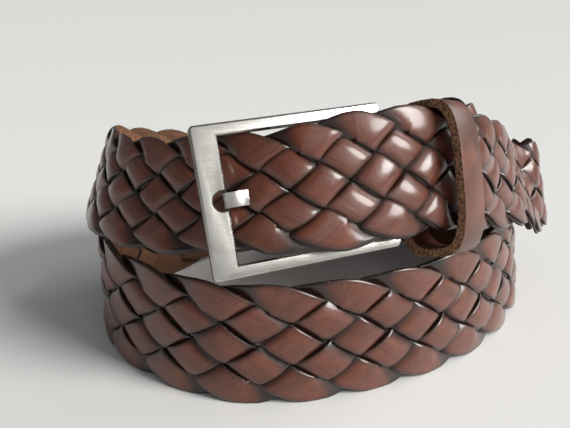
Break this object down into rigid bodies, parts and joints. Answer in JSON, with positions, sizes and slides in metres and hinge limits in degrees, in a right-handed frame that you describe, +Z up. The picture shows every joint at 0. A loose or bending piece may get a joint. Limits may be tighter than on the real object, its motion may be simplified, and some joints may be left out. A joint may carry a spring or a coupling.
{
  "type": "braided belt",
  "caption": "Braided leather belt with a rectangular metal buckle and a keeper loop, fastened and wound into two stacked turns.",
  "frame": {"origin": "middle of the belt's box at the surface that it rests on", "axes": "+X along the coil's long way to the right of the buckle, +Y to the back, +Z up"},
  "size_m": [0.1936, 0.1292, 0.0876],
  "materials": {
    "braided_leather": "glossy reddish brown leather with fine wrinkles and dark cut edges",
    "plain_leather": "smooth reddish brown leather, half matte, with tan cut edges",
    "satin_steel": "satin plated metal with a faint brushed grain"
  },
  "bodies": {
    "root": {"braid_strap": "braided_leather", "buckle_frame": "satin_steel", "buckle_prong": "satin_steel", "chape_fold": "plain_leather", "keeper_loop": "plain_leather", "strap_tip": "plain_leather"}
  },
  "joints": []
}
